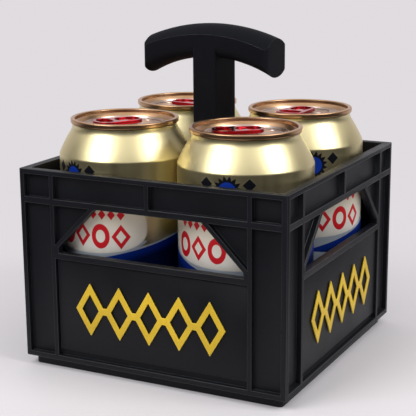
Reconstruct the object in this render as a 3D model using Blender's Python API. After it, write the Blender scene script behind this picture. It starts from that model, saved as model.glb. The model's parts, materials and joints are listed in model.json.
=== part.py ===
"""Mini drink crate: a ribbed square crate with a T-handle, two sign plates and four cans.

Metres, +Z up. The origin is the middle of the foot, on the surface the crate stands on.
"""

import math

import bmesh
import bpy

# Crate, seen from outside. The heights stack up from the ground in this order.
FOOT_HEIGHT = 0.0048
BASE_RIB = 0.0026
SIGN_BAY = 0.0504
SILL_RIB = 0.0031
WINDOW_HEIGHT = 0.0241
LINTEL_RIB = 0.0030
TOP_BAY = 0.0115
RIM_BAND = 0.0023

# Crate walls and ribs.
RIB_DEPTH = 0.0027
WALL = 0.0016
FLOOR = 0.0042
CORNER_RIB = 0.0029
CORNER_BAY = 0.0147
UPRIGHT_RIB = 0.0022
MIDDLE_RIB = 0.0022
WINDOW_FRAME = 0.0020
WINDOW_SIDE = 0.0029
DIAGONAL_RIB = 0.0022
CORNER_RADIUS = 0.0010
FOOT_INSET = 0.0036
FOOT_WALL = 0.0024
FOOT_RADIUS = 0.0018

# T-handle. The grip is arched along X and crowned across Y. Its room is the height between the
# cans' rims and its underside, and its post's play is its distance from the cans beside it.
GRIP_ROOM = 0.0278
GRIP_LENGTH = 0.0692
GRIP_DEPTH = 0.0244
GRIP_CROWN = 0.0047
GRIP_SIDE = 0.0123
GRIP_TOP_ARC = 0.096
GRIP_EDGE_ARC = 0.088
GRIP_UNDER_ARC = 0.073
GRIP_UNDER_RADIUS = 0.0070
GRIP_END_RADIUS = 0.0025
POST_PLAY = 0.0016
POST_RADIUS = 0.0020
POST_FILLET = 0.0030
FLANGE_OVERHANG = 0.0060
FLANGE_THICK = 0.0026

# Sign plates and their raised friezes of linked lozenges.
PLATE_THICK = 0.0012
PLATE_SIDE_GAP = 0.0006
PLATE_TOP_GAP = 0.0005
PLATE_BOTTOM_GAP = 0.0034
FRIEZE_MARGIN = 0.0106
FRIEZE_HEIGHT = 0.0270
FRIEZE_STROKE = 0.0034
FRIEZE_RELIEF = 0.0008
FRIEZE_COUNT = 5

# Cans: the standard 33 cl size with a 202 end. The crate is as wide as two of them side by side,
# with a gap between them and play at the walls.
CAN_HEIGHT = 0.1152
CAN_RADIUS = 0.0331
CAN_GAP = 0.0008
CAN_PLAY = 0.0011
STAND_RADIUS = 0.0236
STAND_CURL = 0.0012
STAND_HEIGHT = 0.0100
DOME_HEIGHT = 0.0095
SHOULDER_HEIGHT = 0.0146
SHOULDER_RADIUS = 0.0060
NECK_HEIGHT = 0.0016
NECK_CURVE = 0.0050
CAN_WALL = 0.0006
HEADSPACE = 0.0250
SEAM_RADIUS = 0.0271
SEAM_HEIGHT = 0.0025
SEAM_LIP = 0.0018
SEAM_OVERHANG = 0.0009
END_SHEET = 0.0006
CHUCK_DEPTH = 0.0066
CHUCK_TAPER = 0.0022
GROOVE_WIDTH = 0.0013
PANEL_DEPTH = 0.0038

# Opening, tab and rivet, measured from the middle of the end towards the mouth.
MOUTH_START = 0.0030
MOUTH_MARGIN = 0.0017
MOUTH_WIDTH = 0.0205
RIVET_RADIUS = 0.0015
RIVET_HEAD_RADIUS = 0.0025
RIVET_HEAD_THICK = 0.0006
TAB_LENGTH = 0.0254
TAB_WIDTH = 0.0158
TAB_THICK = 0.0018
TAB_RISE = 0.0010
TAB_CHAMFER = 0.0004
TAB_NOSE = 0.0088
TAB_NOSE_WIDTH = 0.0128
TAB_RIM = 0.0019
TAB_NOSE_RIM = 0.0015
TAB_BRIDGE = 0.0028
TAB_WEB = 0.0007
RECESS_BACK_RIM = 0.0007
TONGUE_LENGTH = 0.0082
TONGUE_THICK = 0.0006
TONGUE_WIDTH = 0.0066
TONGUE_GAP = 0.0008
FOLD_AHEAD = 0.0045

# Shares of the sizes that they follow: how much of the grip's crown is lost at its ends, points of
# the dome and the chime, the cone's steepness, the round parts of the tab's two ends, and the power
# that squares the ovals of the mouth and the tab.
CROWN_LOST_SHARE = 0.75
DOME_SHARES = (0.4, 0.75)
CHIME_SHARES = ((0.55, 0.30), (0.92, 0.72))
CONE_SLOPE_SHARE = 1.25
NOSE_ROUND_SHARE = 0.75
FINGER_ROUND_SHARE = 0.75
MOUTH_SQUARE_SHARE = 2.6

# Gap left between pieces that touch, and how far a cutter runs past what it cuts.
GAP = 0.0003
OVERRUN = 0.0010
MERGE = 0.000003

# Facets of round shapes.
CAN_SEGMENTS = 28
ARC_SEGMENTS = 5
GRIP_STATIONS = 16

# The four cans: side of the crate in X and in Y, and the way the mouth points from +X, in degrees.
CANS = {
    "front_right": (1, -1, 39.0),
    "front_left": (-1, -1, 55.0),
    "back_right": (1, 1, 85.0),
    "back_left": (-1, 1, 175.0),
}

# Sizes worked out from those above.
CAN_REACH = CAN_RADIUS + CAN_GAP / 2
INNER_HALF = CAN_REACH + CAN_RADIUS + CAN_PLAY
HALF = INNER_HALF + WALL + RIB_DEPTH
SIGN_BAY_LOW = FOOT_HEIGHT + BASE_RIB
SIGN_BAY_TOP = SIGN_BAY_LOW + SIGN_BAY
WINDOW_LOW = SIGN_BAY_TOP + SILL_RIB
WINDOW_TOP = WINDOW_LOW + WINDOW_HEIGHT
TOP_BAY_LOW = WINDOW_TOP + LINTEL_RIB
TOP_BAY_TOP = TOP_BAY_LOW + TOP_BAY
RIM_TOP = TOP_BAY_TOP + RIM_BAND
FLOOR_TOP = FOOT_HEIGHT + FLOOR
CORNER_BAY_OUT = HALF - CORNER_RIB
CORNER_BAY_IN = CORNER_BAY_OUT - CORNER_BAY
UPRIGHT_IN = CORNER_BAY_IN - UPRIGHT_RIB
WINDOW_HALF = UPRIGHT_IN - WINDOW_FRAME
WINDOW_SLANT = WINDOW_HEIGHT - WINDOW_SIDE
PLATE_HALF = UPRIGHT_IN - PLATE_SIDE_GAP
FRIEZE_WIDTH = 2 * (PLATE_HALF - FRIEZE_MARGIN)
CAN_BOTTOM = FLOOR_TOP + GAP
CAN_TOP = CAN_BOTTOM + CAN_HEIGHT
NECK_RADIUS = SEAM_RADIUS - SEAM_OVERHANG
PANEL_TOP = CAN_TOP - PANEL_DEPTH
PANEL_RADIUS = SEAM_RADIUS - SEAM_LIP - CHUCK_TAPER - END_SHEET - GROOVE_WIDTH
TAB_LOW = PANEL_TOP + GAP
FOLD_HEIGHT = TAB_LOW + TONGUE_THICK / 2
MOUTH_HINGE = MOUTH_START + GAP
MOUTH_LENGTH = PANEL_RADIUS - MOUTH_START - MOUTH_MARGIN
SLOT_BACK = TONGUE_LENGTH + TONGUE_GAP - FOLD_AHEAD
FINGER_HOLE_LENGTH = TAB_LENGTH - TAB_NOSE - TAB_RIM - TAB_BRIDGE - SLOT_BACK
HANDLE_TOP = CAN_TOP + GRIP_ROOM + GRIP_SIDE + GRIP_CROWN
GRIP_HALF_DEPTH = GRIP_DEPTH / 2
POST_HALF = CAN_REACH - math.sqrt(CAN_RADIUS ** 2 - (CAN_REACH - GRIP_HALF_DEPTH) ** 2) - POST_PLAY

MATERIALS = {
    "crate_plastic": ((0.012, 0.012, 0.014), 0.45, 0.0),
    "handle_plastic": ((0.012, 0.012, 0.013), 0.40, 0.0),
    "plate_plastic": ((0.011, 0.011, 0.012), 0.50, 0.0),
    "frieze_plastic": ((0.62, 0.42, 0.030), 0.40, 0.0),
    "can_print": ((0.72, 0.56, 0.26), 0.30, 0.9),
    "end_metal": ((0.62, 0.38, 0.24), 0.25, 1.0),
    "tab_metal": ((0.45, 0.02, 0.04), 0.25, 1.0),
}


def clear_scene():
    for thing in list(bpy.data.objects):
        bpy.data.objects.remove(thing, do_unlink=True)


def material(name):
    found = bpy.data.materials.get(name)
    if found:
        return found
    colour, roughness, metallic = MATERIALS[name]
    made = bpy.data.materials.new(name)
    made.use_nodes = True
    shader = made.node_tree.nodes["Principled BSDF"]
    shader.inputs["Base Color"].default_value = (*colour, 1)
    shader.inputs["Roughness"].default_value = roughness
    shader.inputs["Metallic"].default_value = metallic
    made.diffuse_color = (*colour, 1)
    return made


def add_object(name, bm, material_name=None):
    """Makes an object from a bmesh. One without a material is a cutter."""
    bmesh.ops.remove_doubles(bm, verts=bm.verts, dist=MERGE)
    bmesh.ops.recalc_face_normals(bm, faces=bm.faces)
    mesh = bpy.data.meshes.new(name)
    bm.to_mesh(mesh)
    bm.free()
    thing = bpy.data.objects.new(name, mesh)
    bpy.context.scene.collection.objects.link(thing)
    if material_name:
        mesh.materials.append(material(material_name))
    else:
        thing.hide_render = True
        thing.display_type = "WIRE"
    return thing


def combine(thing, cutter, operation="DIFFERENCE"):
    cut = thing.modifiers.new(cutter.name, "BOOLEAN")
    cut.object = cutter
    cut.operation = operation
    cut.solver = "EXACT"


def smooth(thing, angle=35):
    thing.data.shade_smooth()
    thing.data.set_sharp_from_angle(angle=math.radians(angle))


def arc(centre_a, centre_b, radius, start, end, steps):
    """Points on a circle from start to end, in degrees."""
    points = []
    for step in range(steps + 1):
        angle = math.radians(start + (end - start) * step / steps)
        points.append((centre_a + radius * math.cos(angle), centre_b + radius * math.sin(angle)))
    return points


def rounded_rectangle(half_a, half_b, radius, steps=ARC_SEGMENTS):
    points = arc(half_a - radius, half_b - radius, radius, 0, 90, steps)
    points += arc(radius - half_a, half_b - radius, radius, 90, 180, steps)
    points += arc(radius - half_a, radius - half_b, radius, 180, 270, steps)
    points += arc(half_a - radius, radius - half_b, radius, 270, 360, steps)
    return points


def add_loft(bm, loops):
    """Skins a list of closed loops that have equally many points, and caps both ends."""
    rings = [[bm.verts.new(point) for point in loop] for loop in loops]
    count = len(rings[0])
    for low, high in zip(rings, rings[1:]):
        for index in range(count):
            following = (index + 1) % count
            bm.faces.new((low[index], low[following], high[following], high[index]))
    bm.faces.new(rings[0][::-1])
    bm.faces.new(rings[-1])


def add_prism(bm, outline, low, high):
    """Stands a flat outline up from low to high."""
    add_loft(bm, [[(a, b, height) for a, b in outline] for height in (low, high)])


def add_turned(bm, profile, centre, segments=CAN_SEGMENTS):
    """Turns a profile of (radius, height) round a vertical line. Both its ends lie on that line."""
    cx, cy = centre
    rings = []
    for radius, height in profile:
        if radius == 0:
            rings.append([bm.verts.new((cx, cy, height))])
            continue
        ring = []
        for step in range(segments):
            angle = 2 * math.pi * step / segments
            x = cx + radius * math.cos(angle)
            y = cy + radius * math.sin(angle)
            ring.append(bm.verts.new((x, y, height)))
        rings.append(ring)
    for low, high in zip(rings, rings[1:]):
        for step in range(segments):
            following = (step + 1) % segments
            if len(low) == 1:
                bm.faces.new((low[0], high[following], high[step]))
            elif len(high) == 1:
                bm.faces.new((low[step], low[following], high[0]))
            else:
                bm.faces.new((low[step], low[following], high[following], high[step]))


def box_outline(low_a, high_a, low_b, high_b):
    return [(low_a, low_b), (high_a, low_b), (high_a, high_b), (low_a, high_b)]


def mirrored(outline):
    return [(-a, b) for a, b in outline][::-1]


def wall_bays():
    """Outlines of the sunk bays of one wall, along the wall and up, for its right half."""
    slant_foot = WINDOW_LOW + WINDOW_SIDE
    rib_across = DIAGONAL_RIB * math.sqrt(2)
    rib_line = WINDOW_HALF + slant_foot + rib_across
    corner_top = box_outline(CORNER_BAY_IN, CORNER_BAY_OUT, TOP_BAY_LOW, TOP_BAY_TOP)
    corner_low = box_outline(CORNER_BAY_IN, CORNER_BAY_OUT, SIGN_BAY_LOW, WINDOW_TOP)
    middle_top = box_outline(MIDDLE_RIB / 2, UPRIGHT_IN, TOP_BAY_LOW, TOP_BAY_TOP)
    gusset = [
        (UPRIGHT_IN, rib_line - UPRIGHT_IN),
        (UPRIGHT_IN, WINDOW_TOP),
        (rib_line - WINDOW_TOP, WINDOW_TOP),
    ]
    return [corner_top, corner_low, middle_top, gusset]


def window_outline():
    slant_foot = WINDOW_LOW + WINDOW_SIDE
    right = [
        (WINDOW_HALF, WINDOW_LOW),
        (WINDOW_HALF, slant_foot),
        (WINDOW_HALF - WINDOW_SLANT, slant_foot + WINDOW_SLANT),
    ]
    return right + mirrored(right)


def add_wall_prism(bm, outline, inner, outer, turn):
    """A prism whose outline lies in the wall that faces `turn` degrees from -Y."""
    angle = math.radians(turn)
    cosine, sine = math.cos(angle), math.sin(angle)

    def place(along, out, height):
        return (along * cosine + out * sine, along * sine - out * cosine, height)

    loops = [[place(along, out, height) for along, height in outline] for out in (inner, outer)]
    add_loft(bm, loops)


def make_crate():
    body = bmesh.new()
    outline = rounded_rectangle(HALF, HALF, CORNER_RADIUS, 2)
    add_prism(body, outline, FOOT_HEIGHT, RIM_TOP)
    crate = add_object("crate_shell", body, "crate_plastic")

    foot = bmesh.new()
    foot_half = HALF - FOOT_INSET
    add_prism(foot, rounded_rectangle(foot_half, foot_half, FOOT_RADIUS, 3), 0, FOOT_HEIGHT + OVERRUN)
    combine(crate, add_object("cut_foot", foot), "UNION")

    hollows = bmesh.new()
    inside = rounded_rectangle(INNER_HALF, INNER_HALF, CORNER_RADIUS, 2)
    add_prism(hollows, inside, FLOOR_TOP, RIM_TOP + OVERRUN)
    foot_inner = foot_half - FOOT_WALL
    under_floor = rounded_rectangle(foot_inner, foot_inner, CORNER_RADIUS, 2)
    add_prism(hollows, under_floor, -OVERRUN, FOOT_HEIGHT)
    combine(crate, add_object("cut_hollows", hollows))

    socket = bmesh.new()
    outline = rounded_rectangle(POST_HALF + GAP, GRIP_HALF_DEPTH + GAP, POST_RADIUS, 3)
    add_prism(socket, outline, FOOT_HEIGHT - OVERRUN, FLOOR_TOP + OVERRUN)
    combine(crate, add_object("cut_socket", socket))

    bays = bmesh.new()
    windows = bmesh.new()
    sunk = HALF - RIB_DEPTH
    for turn in (0, 90, 180, 270):
        for outline in wall_bays():
            add_wall_prism(bays, outline, sunk, HALF + OVERRUN, turn)
            add_wall_prism(bays, mirrored(outline), sunk, HALF + OVERRUN, turn)
        sign_bay = box_outline(-UPRIGHT_IN, UPRIGHT_IN, SIGN_BAY_LOW, SIGN_BAY_TOP)
        add_wall_prism(bays, sign_bay, sunk, HALF + OVERRUN, turn)
        add_wall_prism(windows, window_outline(), INNER_HALF - OVERRUN, HALF + OVERRUN, turn)
    combine(crate, add_object("cut_bays", bays))
    combine(crate, add_object("cut_windows", windows))
    return crate


def sag(along, radius):
    """How far an arc of this radius has dropped at this distance from its top."""
    return radius - math.sqrt(radius * radius - along * along)


def grip_section(along):
    """The grip's outline across Y at one place along X."""
    half_length = GRIP_LENGTH / 2
    past = max(0, abs(along) - (half_length - GRIP_END_RADIUS))
    drawn_in = GRIP_END_RADIUS - math.sqrt(max(0, GRIP_END_RADIUS ** 2 - past ** 2))
    half = GRIP_HALF_DEPTH - drawn_in
    edge = HANDLE_TOP - GRIP_CROWN - sag(along, GRIP_EDGE_ARC)
    crown = HANDLE_TOP - sag(along, GRIP_TOP_ARC) - edge
    crown -= crown * CROWN_LOST_SHARE * drawn_in / GRIP_END_RADIUS
    crest = edge + crown
    crown_radius = (half * half + crown * crown) / (2 * crown)
    opening = math.degrees(math.asin(half / crown_radius))
    top = arc(0, crest - crown_radius, crown_radius, 90 - opening, 90 + opening, 2 * ARC_SEGMENTS)
    under = HANDLE_TOP - GRIP_CROWN - GRIP_SIDE - sag(along, GRIP_UNDER_ARC) + drawn_in
    radius = GRIP_UNDER_RADIUS
    left = arc(radius - half, under + radius, radius, 180, 270, ARC_SEGMENTS)
    right = arc(half - radius, under + radius, radius, 270, 360, ARC_SEGMENTS)
    return [(along, y, z) for y, z in top + left + right]


def grip_stations():
    """Places along the grip, closer together where its ends are rounded."""
    half_length = GRIP_LENGTH / 2
    straight = half_length - GRIP_END_RADIUS
    inner = [straight * (2 * step / GRIP_STATIONS - 1) for step in range(GRIP_STATIONS + 1)]
    outer = [x for x, _ in arc(straight, 0, GRIP_END_RADIUS, 60, 0, 3)]
    return [-x for x in outer[::-1]] + inner + outer


def make_handle():
    bm = bmesh.new()
    add_loft(bm, [grip_section(along) for along in grip_stations()])
    handle = add_object("t_handle", bm, "handle_plastic")

    under = HANDLE_TOP - GRIP_CROWN - GRIP_SIDE
    post = bmesh.new()
    flange_top = FOOT_HEIGHT - GAP
    flange_low = flange_top - FLANGE_THICK
    loops = []
    wide = (POST_HALF + FLANGE_OVERHANG, GRIP_HALF_DEPTH + FLANGE_OVERHANG)
    narrow = (POST_HALF, GRIP_HALF_DEPTH)
    for (half_x, half_y), height in ((wide, flange_low), (wide, flange_top), (narrow, flange_top)):
        loops.append((half_x, half_y, height))
    for step in range(ARC_SEGMENTS + 1):
        angle = math.pi / 2 * step / ARC_SEGMENTS
        flare = POST_FILLET * (1 - math.cos(angle))
        loops.append((POST_HALF + flare, GRIP_HALF_DEPTH, under - POST_FILLET * (1 - math.sin(angle))))
    loops.append((POST_HALF + POST_FILLET, GRIP_HALF_DEPTH, under + GRIP_SIDE / 2))
    shaped = []
    for half_x, half_y, height in loops:
        outline = rounded_rectangle(half_x, half_y, POST_RADIUS, 3)
        shaped.append([(x, y, height) for x, y in outline])
    add_loft(post, shaped)
    combine(handle, add_object("add_post", post), "UNION")
    smooth(handle)
    return handle


def make_sign(side, turn):
    """A sign plate in the lower bay of the wall that faces `turn` degrees from -Y, and its frieze."""
    low = SIGN_BAY_LOW + PLATE_BOTTOM_GAP
    high = SIGN_BAY_TOP - PLATE_TOP_GAP
    back = HALF - RIB_DEPTH + GAP
    face = back + PLATE_THICK
    plate = bmesh.new()
    add_wall_prism(plate, box_outline(-PLATE_HALF, PLATE_HALF, low, high), back, face, turn)
    add_object("sign_plate_" + side, plate, "plate_plastic")

    middle = (low + high) / 2
    pitch = FRIEZE_WIDTH / FRIEZE_COUNT
    relief_back = face + GAP
    relief_face = relief_back + FRIEZE_RELIEF
    frieze = bmesh.new()
    add_wall_prism(frieze, frieze_outline(pitch, middle), relief_back, relief_face, turn)
    relief = add_object("relief_" + side, frieze, "frieze_plastic")
    holes = bmesh.new()
    shrink = 1 - FRIEZE_STROKE / pitch * 2
    for index in range(FRIEZE_COUNT):
        centre = pitch * (index - (FRIEZE_COUNT - 1) / 2)
        lozenge = [
            (centre + pitch / 2 * shrink, middle),
            (centre, middle + FRIEZE_HEIGHT / 2 * shrink),
            (centre - pitch / 2 * shrink, middle),
            (centre, middle - FRIEZE_HEIGHT / 2 * shrink),
        ]
        add_wall_prism(holes, lozenge, relief_back - OVERRUN, relief_face + OVERRUN, turn)
    combine(relief, add_object("cut_relief_" + side, holes))


def frieze_outline(pitch, middle):
    """Lozenges side by side, joined by a neck as high as a stroke is wide."""
    neck = FRIEZE_STROKE / 2
    slope = FRIEZE_HEIGHT / pitch
    neck_in = neck / slope
    top = []
    for index in range(FRIEZE_COUNT):
        centre = pitch * (index - (FRIEZE_COUNT - 1) / 2)
        top.append((centre - pitch / 2 + neck_in, middle + neck))
        top.append((centre, middle + FRIEZE_HEIGHT / 2))
        top.append((centre + pitch / 2 - neck_in, middle + neck))
    start = -FRIEZE_WIDTH / 2
    lower = [(a, 2 * middle - b) for a, b in top][::-1]
    return [(start, middle)] + top + [(-start, middle)] + lower


def can_profile():
    """Half section of the can body, from the middle of its dome round to the middle of the fill."""
    wall_top = CAN_TOP - SEAM_HEIGHT - NECK_HEIGHT - SHOULDER_HEIGHT
    neck_low = wall_top + SHOULDER_HEIGHT
    flange = CAN_TOP - SEAM_HEIGHT - GAP
    profile = [(0, CAN_BOTTOM + DOME_HEIGHT)]
    dome_half = STAND_RADIUS - STAND_CURL
    dome_radius = (dome_half ** 2 + DOME_HEIGHT ** 2) / (2 * DOME_HEIGHT)
    for share in DOME_SHARES:
        radius = dome_half * share
        profile.append((radius, CAN_BOTTOM + DOME_HEIGHT - sag(radius, dome_radius)))
    profile += arc(STAND_RADIUS, CAN_BOTTOM + STAND_CURL, STAND_CURL, 180, 315, 3)
    for out_share, up_share in CHIME_SHARES:
        radius = STAND_RADIUS + (CAN_RADIUS - STAND_RADIUS) * out_share
        profile.append((radius, CAN_BOTTOM + STAND_HEIGHT * up_share))
    profile.append((CAN_RADIUS, CAN_BOTTOM + STAND_HEIGHT))
    profile += shoulder(CAN_RADIUS, NECK_RADIUS, wall_top, neck_low)
    profile.append((NECK_RADIUS, flange))
    profile.append((NECK_RADIUS - CAN_WALL, flange))
    inside = shoulder(CAN_RADIUS - CAN_WALL, NECK_RADIUS - CAN_WALL, wall_top, neck_low)
    profile += inside[::-3]
    fill = CAN_TOP - HEADSPACE
    profile.append((CAN_RADIUS - CAN_WALL, fill))
    profile.append((0, fill))
    return profile


def shoulder(wide, narrow, low, high):
    """A convex curve, a straight cone and a concave curve that lead from the wall to the neck."""
    drop = wide - narrow
    height = high - low
    slope = math.degrees(math.atan2(drop, height)) * CONE_SLOPE_SHARE
    lower = arc(wide - SHOULDER_RADIUS, low, SHOULDER_RADIUS, 0, slope, 3)
    upper = arc(narrow + NECK_CURVE, high, NECK_CURVE, 180 + slope, 180, 3)
    return lower + upper


def end_profile():
    """Half section of the can end, from the middle of its underside round to the middle of its top."""
    seam_low = CAN_TOP - SEAM_HEIGHT
    seam_in = SEAM_RADIUS - SEAM_LIP
    groove_low = CAN_TOP - CHUCK_DEPTH
    chuck_foot = seam_in - CHUCK_TAPER
    panel_low = PANEL_TOP - END_SHEET
    profile = [(0, panel_low), (PANEL_RADIUS - END_SHEET, panel_low)]
    profile.append((PANEL_RADIUS - END_SHEET, groove_low - END_SHEET))
    profile.append((chuck_foot, groove_low - END_SHEET))
    profile.append((seam_in - END_SHEET / 2, seam_low))
    profile.append((SEAM_RADIUS - END_SHEET / 2, seam_low))
    profile.append((SEAM_RADIUS, seam_low + END_SHEET))
    profile.append((SEAM_RADIUS, CAN_TOP - END_SHEET))
    profile.append((SEAM_RADIUS - END_SHEET, CAN_TOP))
    profile.append((seam_in, CAN_TOP))
    profile.append((seam_in - END_SHEET, CAN_TOP - END_SHEET))
    profile.append((chuck_foot - END_SHEET, groove_low))
    profile.append((PANEL_RADIUS, groove_low))
    profile.append((PANEL_RADIUS, PANEL_TOP))
    stem_top = TAB_LOW + TONGUE_THICK + GAP
    profile.append((RIVET_RADIUS, PANEL_TOP))
    profile.append((RIVET_RADIUS, stem_top))
    profile.append((RIVET_HEAD_RADIUS, stem_top))
    profile.append((RIVET_HEAD_RADIUS, stem_top + RIVET_HEAD_THICK / 2))
    profile.append((RIVET_RADIUS, stem_top + RIVET_HEAD_THICK))
    profile.append((0, stem_top + RIVET_HEAD_THICK))
    return profile


def squared_oval(centre, half_length, half_width, power, count):
    """An oval drawn along +X whose corners fill out as the power rises above 2."""
    points = []
    for step in range(count):
        angle = 2 * math.pi * step / count
        cosine, sine = math.cos(angle), math.sin(angle)
        along = math.copysign(abs(cosine) ** (2 / power), cosine)
        across = math.copysign(abs(sine) ** (2 / power), sine)
        points.append((centre + half_length * along, half_width * across))
    return points


def mouth_outline(grow):
    """The scored shape in the end, along the tab's line and across it."""
    centre = MOUTH_START + MOUTH_LENGTH / 2
    half_length = MOUTH_LENGTH / 2 + grow
    half_width = MOUTH_WIDTH / 2 + grow
    return squared_oval(centre, half_length, half_width, MOUTH_SQUARE_SHARE, 20)


def tab_outline(grow):
    """The tab seen from above: a narrower nose and a broad finger end."""
    nose_half = TAB_NOSE_WIDTH / 2 + grow
    nose_length = nose_half * NOSE_ROUND_SHARE
    nose_centre = TAB_NOSE + grow - nose_length
    finger_half = TAB_WIDTH / 2 + grow
    finger_length = finger_half * FINGER_ROUND_SHARE
    finger_centre = TAB_NOSE - TAB_LENGTH - grow + finger_length
    points = [(nose_centre + nose_length * x, nose_half * y) for x, y in arc(0, 0, 1, -80, 80, 6)]
    points += [(finger_centre + finger_length * x, finger_half * y) for x, y in arc(0, 0, 1, 100, 260, 8)]
    return points


def tab_rise(along):
    """How far the tab's underside has risen, from its nose towards its finger end."""
    return TAB_RISE * (TAB_NOSE - along) / TAB_LENGTH


def add_sloped(bm, outline, centre, turn, low, high):
    """A prism in the tab's place whose ends rise with the tab's underside."""
    spots = placed(outline, centre, turn)
    rises = [tab_rise(along) for along, _ in outline]
    loops = [[(x, y, level + rise) for (x, y), rise in zip(spots, rises)] for level in (low, high)]
    add_loft(bm, loops)


def add_tab(bm, centre, turn):
    """The tab's slab, chamfered all round, resting on its nose."""
    loops = []
    levels = (
        (-TAB_CHAMFER, 0),
        (0, TAB_CHAMFER),
        (0, TAB_THICK - TAB_CHAMFER),
        (-TAB_CHAMFER, TAB_THICK),
    )
    for grow, up in levels:
        outline = tab_outline(grow)
        spots = placed(outline, centre, turn)
        heights = [TAB_LOW + up + tab_rise(along) for along, _ in outline]
        loops.append([(x, y, z) for (x, y), z in zip(spots, heights)])
    add_loft(bm, loops)


def make_can(side, centre, turn):
    """One can with its end, rivet, tab, tongue and mouth panel."""
    bm = bmesh.new()
    add_turned(bm, can_profile(), centre)
    smooth(add_object("can_body_" + side, bm, "can_print"), 25)

    bm = bmesh.new()
    add_turned(bm, end_profile(), centre)
    end = add_object("can_end_" + side, bm, "end_metal")
    bm = bmesh.new()
    panel_low = PANEL_TOP - END_SHEET
    add_prism(bm, placed(mouth_outline(0), centre, turn), panel_low - OVERRUN, PANEL_TOP + OVERRUN)
    combine(end, add_object("cut_mouth_" + side, bm))
    smooth(end, 40)

    bm = bmesh.new()
    add_prism(bm, placed(mouth_outline(-GAP), centre, turn), panel_low, PANEL_TOP)
    mouth = add_object("mouth_panel_" + side, bm, "end_metal")
    hang(mouth, add_pivot("mouth_pivot_" + side, centre, turn, MOUTH_HINGE, panel_low))

    slot_half = TONGUE_LENGTH / 2 + TONGUE_GAP / 2
    slot_centre = FOLD_AHEAD - slot_half
    slot = squared_oval(slot_centre, slot_half, TONGUE_WIDTH / 2 + TONGUE_GAP, 2, 14)
    finger_half = FINGER_HOLE_LENGTH / 2
    finger_centre = TAB_NOSE - TAB_LENGTH + TAB_RIM + finger_half
    finger = squared_oval(finger_centre, finger_half, TAB_WIDTH / 2 - TAB_RIM, MOUTH_SQUARE_SHARE, 14)
    bm = bmesh.new()
    add_tab(bm, centre, turn)
    tab = add_object("tab_" + side, bm, "tab_metal")
    recess_back = -SLOT_BACK - RECESS_BACK_RIM
    recess_half = (TAB_NOSE - TAB_NOSE_RIM - recess_back) / 2
    recess_width = TAB_NOSE_WIDTH / 2 - TAB_NOSE_RIM
    recess = squared_oval(recess_back + recess_half, recess_half, recess_width, MOUTH_SQUARE_SHARE, 16)
    through = -OVERRUN
    cuts = {"slot": (slot, through), "finger": (finger, through), "recess": (recess, TAB_WEB)}
    for cut, (outline, floor) in cuts.items():
        bm = bmesh.new()
        add_sloped(bm, outline, centre, turn, TAB_LOW + floor, TAB_LOW + TAB_THICK + OVERRUN)
        combine(tab, add_object("cut_" + cut + "_" + side, bm))
    hang(tab, add_pivot("tab_pivot_" + side, centre, turn, FOLD_AHEAD, FOLD_HEIGHT))

    tongue_centre = FOLD_AHEAD - TONGUE_GAP / 2 - TONGUE_LENGTH / 2
    outline = squared_oval(tongue_centre, TONGUE_LENGTH / 2, TONGUE_WIDTH / 2, 2, 14)
    bm = bmesh.new()
    add_prism(bm, placed(outline, centre, turn), TAB_LOW, TAB_LOW + TONGUE_THICK)
    tongue = add_object("tab_tongue_" + side, bm, "tab_metal")
    bm = bmesh.new()
    hole = squared_oval(0, RIVET_RADIUS + GAP, RIVET_RADIUS + GAP, 2, 12)
    add_prism(bm, placed(hole, centre, turn), TAB_LOW - OVERRUN, TAB_LOW + TONGUE_THICK + OVERRUN)
    combine(tongue, add_object("cut_tongue_" + side, bm))


def placed(outline, centre, turn):
    """Turns an outline drawn along +X to face the can's mouth, and moves it onto the can."""
    angle = math.radians(turn)
    cosine, sine = math.cos(angle), math.sin(angle)
    cx, cy = centre
    return [(cx + a * cosine - b * sine, cy + a * sine + b * cosine) for a, b in outline]


def add_pivot(name, centre, turn, along, height):
    """An empty on a line that a piece of the can's end turns about."""
    pivot = bpy.data.objects.new(name, None)
    (x, y), = placed([(along, 0)], centre, turn)
    pivot.location = (x, y, height)
    pivot.rotation_euler = (0, 0, math.radians(turn))
    bpy.context.scene.collection.objects.link(pivot)
    return pivot


def hang(thing, pivot):
    """Parents a piece to a pivot without moving it."""
    bpy.context.view_layer.update()
    thing.parent = pivot
    thing.matrix_parent_inverse = pivot.matrix_world.inverted()


def main():
    clear_scene()
    make_crate()
    make_handle()
    make_sign("front", 0)
    make_sign("right", 90)
    for side, (x_side, y_side, turn) in CANS.items():
        make_can(side, (x_side * CAN_REACH, y_side * CAN_REACH), turn)


main()
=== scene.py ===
"""Looks of the mini drink crate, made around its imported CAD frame. Metres, +Z up."""

import json
import math

import bmesh
import bpy
from mathutils import Matrix, Vector


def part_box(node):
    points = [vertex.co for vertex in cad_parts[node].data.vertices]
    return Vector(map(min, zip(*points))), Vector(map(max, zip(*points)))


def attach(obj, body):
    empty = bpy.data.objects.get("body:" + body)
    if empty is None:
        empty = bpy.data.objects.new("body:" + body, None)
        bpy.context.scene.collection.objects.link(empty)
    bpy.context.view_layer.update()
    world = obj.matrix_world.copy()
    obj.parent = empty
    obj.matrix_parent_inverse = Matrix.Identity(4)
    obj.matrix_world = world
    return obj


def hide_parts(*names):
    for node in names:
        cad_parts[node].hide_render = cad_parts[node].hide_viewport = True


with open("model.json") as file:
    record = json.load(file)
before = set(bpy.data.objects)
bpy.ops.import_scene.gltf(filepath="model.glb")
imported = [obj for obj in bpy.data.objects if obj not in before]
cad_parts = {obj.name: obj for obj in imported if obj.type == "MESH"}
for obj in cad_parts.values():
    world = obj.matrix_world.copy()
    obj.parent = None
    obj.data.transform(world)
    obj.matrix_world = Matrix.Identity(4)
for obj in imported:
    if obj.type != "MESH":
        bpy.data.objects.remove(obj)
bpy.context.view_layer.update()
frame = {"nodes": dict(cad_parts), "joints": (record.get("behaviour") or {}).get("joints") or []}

SIDES = ("front_right", "front_left", "back_right", "back_left")

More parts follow.
